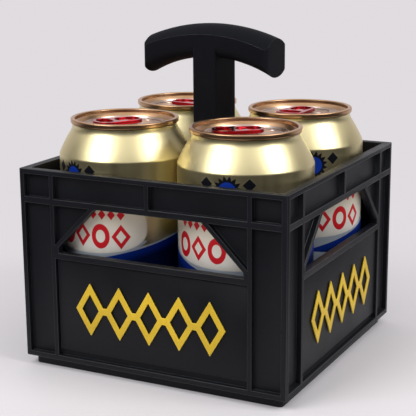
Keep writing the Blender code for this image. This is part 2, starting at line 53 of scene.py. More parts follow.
# Camera of the photograph: where it looks, from which way and how far, and its focal length.
AIM = (-0.007815, 0.007297, 0.070889)
CAMERA_AZIMUTH = 26.981
CAMERA_ELEVATION = 13.569
CAMERA_ROLL = -0.399
CAMERA_DISTANCE = 0.631174
FOCAL_PIXELS = 1185.638
IMAGE_PIXELS = 416
SENSOR_MM = 36

# Soft lamps: azimuth from the camera's side, elevation, distance, width, height and power in watts.
LAMPS = {
    "softbox_left": (-50, 38, 0.95, 0.50, 0.42, 3.9),
    "softbox_right": (59, 38, 0.95, 0.44, 0.42, 3.6),
}

# Room: a pale backdrop behind, and on its open side, where the photograph was taken from, a bright
# ceiling over the dark. All of it shows in shiny pieces and, by the room's share, lights the object.
# The ceiling and the open side start where a direction of length 1 leads this far up or ahead.
ROOM_SHARE = 0.66
BACKDROP = (0.745, 0.715, 0.740)
FRONT_DARK = (0.020, 0.020, 0.022)
CEILING = (1.0, 1.0, 1.0)
CEILING_LOW = 0.52
CEILING_BLUR = 0.40
OPEN_SIDE_START = -0.50
OPEN_SIDE_BLUR = 0.8

# Floor: it turns into the backdrop with distance. Seen in shiny pieces, it turns dark on the open side.
FLOOR_COLOUR = (0.88, 0.85, 0.88)
FLOOR_ROUGHNESS = 0.6
FLOOR_SHINE = 0.2
FLOOR_HALF = 6.0
FLOOR_FADE = 0.22
FLOOR_FADE_BLUR = 0.22
DARK_START = 0.24
DARK_BLUR = 0.10
DARK_BEHIND = -0.20
DARK_BEHIND_BLUR = 0.30

# Edge rounding of the printed plastic pieces.
WELD_DISTANCE = 0.00001
CRATE_EDGE = 0.00048
HANDLE_EDGE = 0.0008
PLATE_EDGE = 0.0002
RELIEF_EDGE = 0.0003
EDGE_SEGMENTS = 3
FINE_SEGMENTS = 2
SHARP_ANGLE = 30

# Handle: the grip is arched along X, and crowned across Y above and below. The post stays shy of the
# grip's upright sides, so that no two faces coincide where they join.
GRIP_HALF_DEPTH = 0.0122
GRIP_CROWN = 0.0047
GRIP_SIDE = 0.0123
GRIP_UNDER_HEIGHT = 0.0068
GRIP_TOP_ARC = 0.096
GRIP_EDGE_ARC = 0.088
GRIP_UNDER_ARC = 0.0725
GRIP_END_RADIUS = 0.0022
GRIP_END_STEPS = 6
GRIP_STATIONS = 48
GRIP_ROUNDS = 14
POST_HALF = 0.00656
POST_RADIUS = 0.0020
POST_INTO_GRIP = 0.0080
POST_SHY = 0.00002
CORNER_STEPS = 6
FLANGE_OVERHANG = 0.0060
FLANGE_THICK = 0.0026

# Can body, measured from its own bottom and its own rim, with its angles in degrees.
ROUND_STEPS = 128
STAND_RADIUS = 0.0236
STAND_CURL = 0.0012
STAND_CURL_END = 315
STAND_STEPS = 8
STAND_HEIGHT = 0.0100
DOME_HEIGHT = 0.0095
DOME_STEPS = 10
SHOULDER_HEIGHT = 0.0156
SHOULDER_RADIUS = 0.0060
SHOULDER_STEPS = 8
INNER_SHOULDER_STEPS = 4
CREASE_RADIUS = 0.0025
CONE_BOW = 5.0
CONE_STEPS = 6
NECK_RADIUS = 0.0262
NECK_HEIGHT = 0.0006
NECK_CURVE = 0.0060
CAN_WALL = 0.0006
HEADSPACE = 0.0250

# End: seam, chuck wall, groove, the ring round the panel, and the panel.
SEAM_HEIGHT = 0.0025
SEAM_LIP = 0.0018
SEAM_ROUND = 0.0006
SEAM_LIP_END = 170
SEAM_STEPS = 5
EDGE_STEPS = 4
END_SHEET = 0.0006
CHUCK_DEPTH = 0.0066
CHUCK_TAPER = 0.0022
CHUCK_STEP_DEPTH = 0.0019
CHUCK_STEP = 0.0006
CHUCK_LEAN = 0.0003
PANEL_DEPTH = 0.0038
PANEL_RADIUS = 0.0212
PANEL_ROUND = 0.0004
RING_RISE = 0.0009
RING_WIDTH = 0.0008
RING_SLOPE = 0.0005
PANEL_STEP_RADIUS = 0.0186
PANEL_STEP = 0.0003
GROOVE_ROUND = 0.0008
GROOVE_STEPS = 6

# Rivet: the dome of its head is given in shares of the head's radius and thickness.
RIVET_RADIUS = 0.0015
RIVET_HEAD_RADIUS = 0.0025
RIVET_HEAD_THICK = 0.0008
RIVET_DOME_SHARES = ((1.0, 0.3), (0.93, 0.6), (0.8, 0.85), (0.6, 0.97))
RIVET_LIFT = 0.00015
RIVET_STEPS = 48

# Clearance between pieces, and how far a cutter reaches past what it cuts.
GAP = 0.0003
OVERRUN = 0.0010

# Mouth and tab, along the tab's line from the middle of the end and across it.
OVAL_POWER = 2
OVAL_STEPS = 64
SQUARED_POWER = 2.6
MOUTH_EDGE = 0.0001
MOUTH_BEAD = 0.0005
BEAD_END = 225
BEAD_STEPS = 7
TAB_THICK = 0.0018
TAB_LIFT = 0.0005
TAB_EDGE = 0.0006
TAB_RIM = 0.0019
TAB_WEB = 0.0007
TAB_ROUND_END = 85
NOSE_STEPS = 24
FINGER_STEPS = 28
FINGER_HOLE_LENGTH = 0.0074
RECESS_LENGTH = 0.0124
RECESS_NOSE_RIM = 0.0015
TONGUE_LENGTH = 0.0082
TONGUE_WIDTH = 0.0066
TONGUE_GAP = 0.0008
TONGUE_EDGE = 0.00015
TONGUE_STEPS = 48
RIVET_HOLE_STEPS = 32
NOSE_SHARE = 0.81
ROUND_SHARE = 0.75

# Colour sockets of the mix node.
MIX_FIRST = 6
MIX_SECOND = 7
MIX_RESULT = 2

# Noise: the range that it mostly keeps to, and its detail in grain, lines and blotches.
NOISE_LOW = 0.3
NOISE_HIGH = 0.7
GRAIN_DETAIL = 2.0
LINE_DETAIL = 3.0
BLOTCH_DETAIL = 4.0


class Graph:
    """Short names for the shader nodes that the materials here are made of."""

    def __init__(self, name):
        self.material = bpy.data.materials.new(name)
        self.material.use_nodes = True
        self.tree = self.material.node_tree
        self.shader = self.tree.nodes["Principled BSDF"]

    @classmethod
    def of(cls, tree):
        """Works on a tree that is there already, such as the world's."""
        made = cls.__new__(cls)
        made.tree = tree
        return made

    def node(self, kind, **settings):
        made = self.tree.nodes.new(kind)
        for key, value in settings.items():
            setattr(made, key, value)
        return made

    def link(self, source, target):
        if isinstance(source, bpy.types.NodeSocket):
            self.tree.links.new(source, target)
        else:
            target.default_value = source

    def math(self, operation, first, second=0.0, third=0.0):
        made = self.node("ShaderNodeMath", operation=operation)
        for socket, value in zip(made.inputs, (first, second, third)):
            self.link(value, socket)
        return made.outputs[0]

    def mix(self, share, first, second):
        made = self.node("ShaderNodeMix", data_type="RGBA")
        self.link(share, made.inputs[0])
        self.link(first, made.inputs[MIX_FIRST])
        self.link(second, made.inputs[MIX_SECOND])
        return made.outputs[MIX_RESULT]

    def noise(self, scale, detail, stretch=(1, 1, 1)):
        mapping = self.node("ShaderNodeMapping")
        self.tree.links.new(self.place(), mapping.inputs[0])
        mapping.inputs["Scale"].default_value = stretch
        made = self.node("ShaderNodeTexNoise")
        made.inputs["Scale"].default_value = scale
        made.inputs["Detail"].default_value = detail
        self.tree.links.new(mapping.outputs[0], made.inputs["Vector"])
        return made.outputs["Fac"]

    def place(self):
        """Where a point lies in its object's own frame."""
        return self.node("ShaderNodeTexCoord").outputs["Object"]

    def axes(self):
        made = self.node("ShaderNodeSeparateXYZ")
        self.tree.links.new(self.place(), made.inputs[0])
        return made.outputs

    def length(self, first, second):
        squares = [self.math("MULTIPLY", part, part) for part in (first, second)]
        return self.math("SQRT", self.math("ADD", *squares))

    def axis_distance(self, axes):
        """How far a point lies from its object's upright axis."""
        return self.length(axes["X"], axes["Y"])

    def above(self, value, edge, blur):
        """1 where value is above edge, 0 where it is below, with a soft step."""
        shifted = self.math("SUBTRACT", value, edge)
        scaled = self.math("MULTIPLY_ADD", shifted, 1 / blur, 0.5)
        return self.math("MINIMUM", self.math("MAXIMUM", scaled, 0.0), 1.0)

    def bump(self, height, distance, below=None):
        made = self.node("ShaderNodeBump")
        made.inputs["Strength"].default_value = 1.0
        made.inputs["Distance"].default_value = distance
        self.tree.links.new(height, made.inputs["Height"])
        if below is not None:
            self.tree.links.new(below, made.inputs["Normal"])
        return made.outputs["Normal"]

    def spread(self, noise, low, high):
        """Spreads the usual range of a noise over low to high."""
        made = self.node("ShaderNodeMapRange")
        made.inputs["From Min"].default_value = NOISE_LOW
        made.inputs["From Max"].default_value = NOISE_HIGH
        made.inputs["To Min"].default_value = low
        made.inputs["To Max"].default_value = high
        self.tree.links.new(noise, made.inputs["Value"])
        return made.outputs[0]

    def use(self, name, value):
        self.link(value, self.shader.inputs[name])


# Printed plastic: layer height of the print, how deep its lines and its grain are, and its blotches.
LAYER = 0.0002
LAYER_DEPTH = 0.000003
GRAIN_DEPTH = 0.000004
GRAIN_SCALE = 1400
BLOTCH_SCALE = 45
TINT_SHARE = 1.3
ROUGHNESS_RANGE = 0.05

# Colour, roughness and shine of each plastic and of its rounded edges. The edges are lighter than their
# faces: a painted highlight.
PLASTICS = {
    # The crate plastic's bluish tint is partly painted sheen.
    "crate_plastic": ((0.0066, 0.0071, 0.0096), 0.46, 0.18),
    "handle_plastic": ((0.0092, 0.0097, 0.0125), 0.55, 0.02),
    "plate_plastic": ((0.0066, 0.0071, 0.0092), 0.44, 0.18),
    "frieze_plastic": ((0.68, 0.45, 0.022), 0.42, 0.3),
    "crate_edge_highlight": ((0.018, 0.019, 0.023), 0.30, 0.38),
    "handle_edge_highlight": ((0.026, 0.027, 0.031), 0.30, 0.60),
    "frieze_edge_highlight": ((0.76, 0.53, 0.040), 0.34, 0.5),
}


def printed_plastic(name, colour, roughness, shine):
    """Plastic laid down in thin level layers, whose lines show as rings on gentle slopes."""
    graph = Graph(name)
    wobble = graph.math("MULTIPLY", graph.noise(BLOTCH_SCALE, GRAIN_DETAIL), LAYER)
    height = graph.math("ADD", graph.axes()["Z"], wobble)
    lines = graph.math("SINE", graph.math("MULTIPLY", height, 2 * math.pi / LAYER))
    normal = graph.bump(lines, LAYER_DEPTH)
    normal = graph.bump(graph.noise(GRAIN_SCALE, GRAIN_DETAIL), GRAIN_DEPTH, normal)
    lighter = tuple(part * TINT_SHARE for part in colour)
    blotch = graph.spread(graph.noise(BLOTCH_SCALE, BLOTCH_DETAIL), 0.0, 1.0)
    graph.use("Base Color", graph.mix(blotch, (*colour, 1), (*lighter, 1)))
    dullness = graph.noise(BLOTCH_SCALE, BLOTCH_DETAIL)
    graph.use("Roughness", graph.spread(dullness, roughness - ROUGHNESS_RANGE, roughness + ROUGHNESS_RANGE))
    graph.use("Specular IOR Level", shine)
    graph.use("Normal", normal)
    return graph.material


# Can print, in the can's own frame: heights are above the can's bottom, widths go round the can from
# the middle of the print. A cream field with red motifs stands on silver and on a blue band that grows
# thicker to its sides and darker below, under a blue and black sun between two lozenges.
FIELD_MIDDLE = 0.0655
FIELD_HALF_HEIGHT = 0.0132
FIELD_HALF_WIDTH = 0.0388
FIELD_POWER = 2.8
FIELD_EDGE_SHARE = 1.05
SILVER_TOP = 0.0560
BLUE_TOP = 0.0468
BLUE_RISE_SHARE = 0.234
BLUE_LOW = 0.0300
BLUE_EDGE = 0.0009
BLUE_THICK = 0.0017
BLUE_SPREAD_SHARE = 0.36
NAVY_DEPTH = 0.0035
NAVY_BLUR = 0.003
# Height over which the cream's top turns to its painted shade.
CREAM_SHADE_BLUR = 0.018
PRINT_BLUR = 0.00025
BIG_HEIGHT = 0.0613
BIG_HALF = 0.0062
BIG_STROKE = 0.0030
BIG_COUNT = 20
BIG_REACH = 0.0310
SMALL_HEIGHT = 0.0722
SMALL_HALF = 0.0026
SMALL_COUNT = 44
SMALL_REACH = 0.0284
NARROW_SHARE = 1.30
SUN_HEIGHT = 0.0900
SUN_DISC = 0.0044
SUN_RING = 0.0054
SUN_RAY = 0.0021
SUN_RAYS = 16
LOZENGE_HEIGHT = 0.0931
LOZENGE_ASIDE = 0.0104
LOZENGE_HALF = 0.0032

# Its colours, how far ink and tinted foil dull the metal below, and its finish.
GOLD = (0.78, 0.68, 0.39)
# Cream above the field's middle is darker and yellower: painted shade from the crate's rim.
CREAM_PAINTED_SHADE = (0.64, 0.56, 0.42)
CREAM_LOW = (0.78, 0.74, 0.67)
RED_INK = (0.56, 0.006, 0.014)
BLUE_INK = (0.007, 0.047, 0.44)
NAVY_INK = (0.005, 0.018, 0.11)
SILVER_INK = (0.72, 0.80, 0.92)
BLACK_INK = (0.006, 0.007, 0.012)
INK_DULL_SHARE = 0.80
FOIL_DULL_SHARE = 0.34
INK_SHINE = 0.22
INK_ROUGHER = 0.06
PRINT_ROUGHNESS = (0.34, 0.41)
STREAK_SCALE = 220
STREAK_STRETCH = (1, 1, 0.08)
PRINT_GRAIN_SCALE = 900
PRINT_GRAIN_STRETCH = (1, 1, 0.15)
PRINT_GRAIN_DEPTH = 0.000006


class Print(Graph):
    """Masks for flat artwork on a round wall: `up` from its foot, `across` to either side of its middle."""

    def __init__(self, name, radius):
        super().__init__(name)
        x, y, z = self.axes()
        self.aside = self.math("MULTIPLY", self.math("ARCTAN2", y, x), radius)
        self.across = self.math("ABSOLUTE", self.aside)
        self.up = z
        self.girth = 2 * math.pi * radius

    def inverse(self, mask):
        return self.math("SUBTRACT", 1.0, mask)

    def below(self, value, edge):
        return self.inverse(self.above(value, edge, PRINT_BLUR))

    def both(self, *masks):
        result = masks[0]
        for mask in masks[1:]:
            result = self.math("MULTIPLY", result, mask)
        return result

    def either(self, *masks):
        result = masks[0]
        for mask in masks[1:]:
            result = self.math("MAXIMUM", result, mask)
        return result

    def far(self, value, place):
        return self.math("ABSOLUTE", self.math("SUBTRACT", value, place))

    def row(self, count):
        """Distance to the middle of the nearest of `count` equal places round the wall, and its parity."""
        place = self.math("DIVIDE", self.aside, self.girth / count)
        index = self.math("FLOOR", place)
        local = self.math("SUBTRACT", self.math("SUBTRACT", place, index), 0.5)
        odd = self.math("FLOORED_MODULO", index, 2.0)
        return self.math("MULTIPLY", self.math("ABSOLUTE", local), self.girth / count), odd


def big_motifs(art):
    """Bold rings and lozenges by turns."""
    near, odd = art.row(BIG_COUNT)
    narrow = art.math("MULTIPLY", near, NARROW_SHARE)
    up = art.far(art.up, BIG_HEIGHT)
    oval = art.length(narrow, up)
    lozenge = art.math("ADD", narrow, up)
    reach = art.math("ADD", art.both(odd, oval), art.both(art.inverse(odd), lozenge))
    hollow = art.above(reach, BIG_HALF - BIG_STROKE, PRINT_BLUR)
    return art.both(art.below(reach, BIG_HALF), hollow, art.below(art.across, BIG_REACH))


def small_motifs(art):
    """A row of small full lozenges."""
    near = art.row(SMALL_COUNT)[0]
    reach = art.math("ADD", art.math("MULTIPLY", near, NARROW_SHARE), art.far(art.up, SMALL_HEIGHT))
    return art.both(art.below(reach, SMALL_HALF), art.below(art.across, SMALL_REACH))


def sun_emblem(art):
    """The black part of the sun and its lozenges, and its blue disc."""
    over = art.math("SUBTRACT", art.up, SUN_HEIGHT)
    reach = art.length(art.across, over)
    angle = art.math("ARCTAN2", over, art.across)
    ray = art.math("DIVIDE", art.math("PINGPONG", angle, math.pi / SUN_RAYS), math.pi / SUN_RAYS)
    outline = art.math("SUBTRACT", reach, art.math("MULTIPLY", ray, SUN_RAY))
    disc = art.below(reach, SUN_DISC)
    lozenge = art.math("ADD", art.far(art.across, LOZENGE_ASIDE), art.far(art.up, LOZENGE_HEIGHT))
    black = art.either(art.below(outline, SUN_RING), art.below(lozenge, LOZENGE_HALF))
    return black, disc


def print_fields(art):
    """The cream field, the silver, the blue band, and how far a place lies below the band's top."""
    high = art.math("DIVIDE", art.far(art.up, FIELD_MIDDLE), FIELD_HALF_HEIGHT)
    wide = art.math("DIVIDE", art.across, FIELD_HALF_WIDTH)
    powers = [art.math("POWER", part, FIELD_POWER) for part in (high, wide)]
    level = art.math("POWER", art.math("ADD", *powers), 1 / FIELD_POWER)
    level_blur = PRINT_BLUR / FIELD_HALF_HEIGHT
    field = art.inverse(art.above(level, 1.0, level_blur))
    edging = art.inverse(art.above(level, FIELD_EDGE_SHARE, level_blur))
    edging = art.both(edging, art.below(art.up, FIELD_MIDDLE - FIELD_HALF_HEIGHT / 2))

    depth = art.math("SUBTRACT", art.math("MULTIPLY_ADD", art.across, BLUE_RISE_SHARE, BLUE_TOP), art.up)
    painted = art.both(art.above(depth, 0.0, PRINT_BLUR), art.above(art.up, BLUE_LOW, PRINT_BLUR))
    thick = art.math("MULTIPLY_ADD", art.across, BLUE_SPREAD_SHARE, BLUE_THICK)
    blue = art.both(painted, art.below(art.math("SUBTRACT", depth, thick), 0.0))

    low_enough = art.both(art.below(art.up, SILVER_TOP), art.above(art.up, BLUE_TOP, PRINT_BLUR))
    under = art.both(low_enough, art.below(art.across, FIELD_HALF_WIDTH))
    line = art.both(art.above(depth, -BLUE_EDGE, PRINT_BLUR), art.below(depth, 0.0))
    return field, art.either(edging, under, painted, line), blue, depth


def can_print(radius):
    """Satin gold lacquer with printed fields and motifs."""
    art = Print("can_print", radius)
    field, silver, blue, depth = print_fields(art)
    red = art.both(art.either(big_motifs(art), small_motifs(art)), field)
    black, disc = sun_emblem(art)
    # Above its middle the cream turns darker and yellower: painted shade from the crate's rim.
    cream = art.mix(art.above(art.up, FIELD_MIDDLE, CREAM_SHADE_BLUR), (*CREAM_LOW, 1), (*CREAM_PAINTED_SHADE, 1))
    blues = art.mix(art.above(depth, NAVY_DEPTH, NAVY_BLUR), (*BLUE_INK, 1), (*NAVY_INK, 1))
    inks = (
        (silver, (*SILVER_INK, 1)),
        (blue, blues),
        (field, cream),
        (red, (*RED_INK, 1)),
        (black, (*BLACK_INK, 1)),
        (disc, (*BLUE_INK, 1)),
    )
    colour = (*GOLD, 1)
    for mask, ink in inks:
        colour = art.mix(mask, colour, ink)
    art.use("Base Color", colour)

    inked = art.either(field, black)
    foil = art.math("MULTIPLY", art.either(silver, blue, disc), FOIL_DULL_SHARE)
    dull = art.either(art.math("MULTIPLY", inked, INK_DULL_SHARE), foil)
    art.use("Metallic", art.inverse(dull))
    art.use("Specular IOR Level", INK_SHINE)
    streaks = art.spread(art.noise(STREAK_SCALE, LINE_DETAIL, STREAK_STRETCH), *PRINT_ROUGHNESS)
    art.use("Roughness", art.math("MULTIPLY_ADD", inked, INK_ROUGHER, streaks))
    grain = art.noise(PRINT_GRAIN_SCALE, GRAIN_DETAIL, PRINT_GRAIN_STRETCH)
    art.use("Normal", art.bump(grain, PRINT_GRAIN_DEPTH))
    return art.material


# Rolled metals: their blotches of tone, their lines and their grain.
METAL_BLOTCH_SCALE = 160
METAL_LINE_SCALE = 300
METAL_LINE_STRETCH = (0.05, 1, 1)
METAL_GRAIN_SCALE = 2500
METAL_GRAIN_STRETCH = (0.04, 1, 1)
METAL_GRAIN_DEPTH = 0.000003

# The end is rose on its outside and paler on its panel, the tabs are red, and the rivets are bright.
END_ROSE = (0.57, 0.35, 0.20)
END_ROSE_SHADE = (0.51, 0.30, 0.16)
END_PALE = (0.59, 0.46, 0.39)
END_ROUGHNESS = (0.28, 0.33)
END_GRAIN_DEPTH = 0.0000008
PANEL_BLUR = 0.0015
TAB_RED = (0.50, 0.020, 0.028)
TAB_RED_SHADE = (0.38, 0.011, 0.017)
TAB_ROUGHNESS = (0.11, 0.19)
RIVET_PALE = (0.82, 0.77, 0.73)
RIVET_PALE_SHADE = (0.74, 0.68, 0.64)
RIVET_ROUGHNESS = (0.27, 0.35)


def rolled_metal(name, colour, shade, roughness, grain_depth, panel_colour=None):
    """Coloured metal with faint rolling lines and blotches of tone, and at will a panel's own colour."""
    graph = Graph(name)
    blotch = graph.spread(graph.noise(METAL_BLOTCH_SCALE, BLOTCH_DETAIL), 0.0, 1.0)
    tone = graph.mix(blotch, (*colour, 1), (*shade, 1))
    if panel_colour:
        outside = graph.above(graph.axis_distance(graph.axes()), PANEL_RADIUS, PANEL_BLUR)
        tone = graph.mix(outside, (*panel_colour, 1), tone)
    graph.use("Base Color", tone)
    graph.use("Metallic", 1.0)
    lines = graph.noise(METAL_LINE_SCALE, LINE_DETAIL, METAL_LINE_STRETCH)
    graph.use("Roughness", graph.spread(lines, *roughness))
    grain = graph.noise(METAL_GRAIN_SCALE, GRAIN_DETAIL, METAL_GRAIN_STRETCH)
    graph.use("Normal", graph.bump(grain, grain_depth))
    return graph.material


def towards_open_side(graph, axes):
    """How far a place or a direction leads from the middle towards the room's open side."""
    azimuth = math.radians(CAMERA_AZIMUTH)
    along = graph.math("MULTIPLY", axes["X"], math.sin(azimuth))
    return graph.math("MULTIPLY_ADD", axes["Y"], -math.cos(azimuth), along)


def glow(graph, colour):
    made = graph.node("ShaderNodeEmission")
    made.inputs["Color"].default_value = (*colour, 1)
    return made.outputs[0]


def blend(graph, share, first, second):
    made = graph.node("ShaderNodeMixShader")
    graph.link(share, made.inputs[0])
    graph.tree.links.new(first, made.inputs[1])
    graph.tree.links.new(second, made.inputs[2])
    return made.outputs[0]


def floor_surface():
    """Matt and pale, and from afar the backdrop. Seen in a shiny piece its open side ends in the dark."""
    graph = Graph("floor")
    graph.use("Base Color", (*FLOOR_COLOUR, 1))
    graph.use("Roughness", FLOOR_ROUGHNESS)
    graph.use("Specular IOR Level", FLOOR_SHINE)
    axes = graph.axes()
    distance = graph.axis_distance(axes)
    path = graph.node("ShaderNodeLightPath").outputs
    seen = graph.math("MAXIMUM", path["Is Camera Ray"], path["Is Glossy Ray"])
    far = graph.math("MULTIPLY", seen, graph.above(distance, FLOOR_FADE, FLOOR_FADE_BLUR))
    surface = blend(graph, far, graph.shader.outputs[0], glow(graph, BACKDROP))
    ahead = graph.above(towards_open_side(graph, axes), DARK_BEHIND, DARK_BEHIND_BLUR)
    ahead = graph.math("MULTIPLY", ahead, graph.above(distance, DARK_START, DARK_BLUR))
    dark = graph.math("MULTIPLY", path["Is Glossy Ray"], ahead)
    surface = blend(graph, dark, surface, glow(graph, FRONT_DARK))
    graph.tree.links.new(surface, graph.tree.nodes["Material Output"].inputs["Surface"])
    return graph.material


def smooth(mesh):
    mesh.shade_smooth()
    mesh.set_sharp_from_angle(angle=math.radians(SHARP_ANGLE))


def placed(name, bm):
    """Turns a bmesh into an object of the scene."""
    mesh = bpy.data.meshes.new(name)
    bm.to_mesh(mesh)
    bm.free()
    made = bpy.data.objects.new(name, mesh)
    bpy.context.scene.collection.objects.link(made)
    return made


def new_object(name, bm, material):
    """Makes a smooth-shaded object from a bmesh."""
    bmesh.ops.remove_doubles(bm, verts=bm.verts, dist=WELD_DISTANCE / 2)
    bmesh.ops.recalc_face_normals(bm, faces=bm.faces)
    made = placed(name, bm)
    made.data.materials.append(material)
    smooth(made.data)
    return made


def arc(centre_a, centre_b, radius, start, end, steps):
    """Points on a circle from start to end, in degrees."""
    points = []
    for step in range(steps + 1):
        angle = math.radians(start + (end - start) * step / steps)
        points.append((centre_a + radius * math.cos(angle), centre_b + radius * math.sin(angle)))
    return points


def turned(profile, steps=ROUND_STEPS):
    """A closed body turned from a profile of (radius, height) whose two ends lie on the axis."""
    bm = bmesh.new()
    rings = []
    for radius, height in profile:
        count = 1 if radius == 0 else steps
        angles = [2 * math.pi * step / steps for step in range(count)]
        rings.append([bm.verts.new((radius * math.cos(a), radius * math.sin(a), height)) for a in angles])
    for low, high in zip(rings, rings[1:]):
        for step in range(steps):
            following = (step + 1) % steps
            corners = [low[step % len(low)], low[following % len(low)]]
            corners += [high[following % len(high)], high[step % len(high)]]
            bm.faces.new(list(dict.fromkeys(corners)))
    return bm


def lofted(loops):
    """A body that skins closed loops of equally many points, capped at both ends."""
    bm = bmesh.new()
    rings = [[bm.verts.new(point) for point in loop] for loop in loops]
    count = len(rings[0])
    for low, high in zip(rings, rings[1:]):
        for index in range(count):
            following = (index + 1) % count
            bm.faces.new((low[index], low[following], high[following], high[index]))
    bm.faces.new(rings[0][::-1])
    bm.faces.new(rings[-1])
    return bm


def prism(outline, low, high):
    return lofted([[(x, y, height) for x, y in outline] for height in (low, high)])


def squared_oval(low, high, half_width, power=SQUARED_POWER, count=OVAL_STEPS):
    """An oval along +X from low to high, whose corners fill out as the power rises above 2."""
    centre, half_length = (low + high) / 2, (high - low) / 2
    points = []
    for step in range(count):
        angle = 2 * math.pi * step / count
        cosine, sine = math.cos(angle), math.sin(angle)
        along = math.copysign(abs(cosine) ** (2 / power), cosine)
        across = math.copysign(abs(sine) ** (2 / power), sine)
        points.append((centre + half_length * along, half_width * across))
    return points


def combine(thing, other, operation):
    """Joins another object to this one, or cuts it out, and leaves only the outcome."""
    made = thing.modifiers.new("combine", "BOOLEAN")
    made.object = other
    made.operation = operation
    made.solver = "EXACT"
    depsgraph = bpy.context.evaluated_depsgraph_get()
    mesh = bpy.data.meshes.new_from_object(thing.evaluated_get(depsgraph))
    thing.modifiers.clear()
    thing.data = mesh
    bpy.data.objects.remove(other, do_unlink=True)


def carve(thing, cutters):
    """Cuts prisms out of an object: each cutter is an outline with its low and high end."""
    for outline, low, high in cutters:
        bm = prism(outline, low, high)
        bmesh.ops.recalc_face_normals(bm, faces=bm.faces)
        combine(thing, placed("cutter", bm), "DIFFERENCE")


def bevel(thing, width, segments=EDGE_SEGMENTS):
    made = thing.modifiers.new("round_edges", "BEVEL")
    made.width = width
    made.segments = segments
    made.limit_method = "ANGLE"
    made.angle_limit = math.radians(SHARP_ANGLE)
    made.harden_normals = True
    made.use_clamp_overlap = True
    return made


def smoothing_group():
    """Welds the frame's split faces and shades them all smooth."""
    group = bpy.data.node_groups.new("weld_and_smooth", "GeometryNodeTree")
    group.interface.new_socket("Geometry", in_out="INPUT", socket_type="NodeSocketGeometry")
    group.interface.new_socket("Geometry", in_out="OUTPUT", socket_type="NodeSocketGeometry")
    nodes, links = group.nodes, group.links
    start = nodes.new("NodeGroupInput")
    weld = nodes.new("GeometryNodeMergeByDistance")
    weld.inputs["Distance"].default_value = WELD_DISTANCE
    faces = nodes.new("GeometryNodeSetShadeSmooth")
    end = nodes.new("NodeGroupOutput")
    links.new(start.outputs[0], weld.inputs["Geometry"])
    links.new(weld.outputs[0], faces.inputs["Geometry"])
    links.new(faces.outputs[0], end.inputs[0])
    return group


def paint(thing, material, edge_highlight_material):
    """Gives an object its material, with the painted highlight of its edges in second place."""
    thing.data.materials.clear()
    thing.data.materials.append(material)
    thing.data.materials.append(edge_highlight_material)


def dress_node(name, material, edge_highlight_material, edge):
    """Gives a CAD node its material and softly rounded edges with a shine of their own and a lighter
    colour, a painted highlight.
    """
    thing = frame["nodes"][name]
    paint(thing, material, edge_highlight_material)
    thing.modifiers.new("weld_and_smooth", "NODES").node_group = SMOOTHING
    bevel(thing, edge).material = 1


def sag(along, radius):
    """How far an arc of this radius has dropped at this distance from its top."""
    return radius - math.sqrt(radius * radius - along * along)


def grip_section(along, half, top):
    """The grip's outline across Y at one place along X: a crown, upright sides and half an ellipse."""
    edge = top - GRIP_CROWN - sag(along, GRIP_EDGE_ARC)
    crown = top - sag(along, GRIP_TOP_ARC) - edge
    under = top - GRIP_CROWN - GRIP_SIDE - sag(along, GRIP_UNDER_ARC)
    crown_radius = (GRIP_HALF_DEPTH ** 2 + crown ** 2) / (2 * crown)
    opening = math.degrees(math.asin(half / crown_radius))
    over = arc(0, edge + crown - crown_radius, crown_radius, 90 - opening, 90 + opening, GRIP_ROUNDS)
    start = math.degrees(math.acos(half / GRIP_HALF_DEPTH))
    below = []
    for a, b in arc(0, 0, 1, start, 180 - start, GRIP_ROUNDS):
        below.append((-a * GRIP_HALF_DEPTH, under + GRIP_UNDER_HEIGHT * (1 - b)))
    return [(along, y, z) for y, z in over + below]


def make_grip(high, material):
    """The grip, whose ends are cut square and rounded a little in plan."""
    straight = high.x - GRIP_END_RADIUS
    places = []
    for step in range(GRIP_STATIONS + 1):
        places.append((straight * (2 * step / GRIP_STATIONS - 1), GRIP_HALF_DEPTH))
    rounded = arc(straight, GRIP_HALF_DEPTH - GRIP_END_RADIUS, GRIP_END_RADIUS, 90, 0, GRIP_END_STEPS)[1:]
    places = [(-along, half) for along, half in rounded[::-1]] + places + rounded
    sections = [grip_section(along, half, high.z) for along, half in places]
    return new_object("handle", lofted(sections), material)


def rounded_rectangle(half_a, half_b, radius):
    points = []
    for turn, (a, b) in enumerate(((1, 1), (-1, 1), (-1, -1), (1, -1))):
        start = 90 * turn
        points += arc(a * (half_a - radius), b * (half_b - radius), radius, start, start + 90, CORNER_STEPS)
    return points


def make_post(low, high, material):
    """The straight post on its foot flange, which reaches into the grip."""
    flange_top = low.z + FLANGE_THICK
    post_top = high.z - GRIP_CROWN - GRIP_SIDE + POST_INTO_GRIP
    wide = (POST_HALF + FLANGE_OVERHANG, GRIP_HALF_DEPTH + FLANGE_OVERHANG)
    narrow = (POST_HALF, GRIP_HALF_DEPTH - POST_SHY)
    levels = ((wide, low.z), (wide, flange_top), (narrow, flange_top), (narrow, post_top))
    loops = []
    for halves, height in levels:
        loops.append([(x, y, height) for x, y in rounded_rectangle(*halves, POST_RADIUS)])
    return new_object("post", lofted(loops), material)


def make_handle(material, edge_highlight_material):
    """The grip and its post as one piece."""
    low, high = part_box("t_handle")
    handle = make_grip(high, material)
    combine(handle, make_post(low, high, material), "UNION")
    paint(handle, material, edge_highlight_material)
    smooth(handle.data)
    # The rounded edges take the second material, whose lighter colour is a painted highlight.
    bevel(handle, HANDLE_EDGE).material = 1
    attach(handle, "crate")
    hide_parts("t_handle")


def can_data(side):
    """Centre of a can, its bottom and top, and the way its mouth points, from the frame."""
    low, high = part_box("can_body_" + side)
    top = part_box("can_end_" + side)[1].z
    hinge = next(joint for joint in frame["joints"] if joint["child"] == "mouth_" + side)
    turn = math.atan2(-hinge["axis"][0], hinge["axis"][1])
    return Vector(((low.x + high.x) / 2, (low.y + high.y) / 2)), low.z, top, turn


def node_radius(name):
    """Radius of a CAD node that is round about an upright axis."""
    low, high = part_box(name)
    return (high.x - low.x) / 2


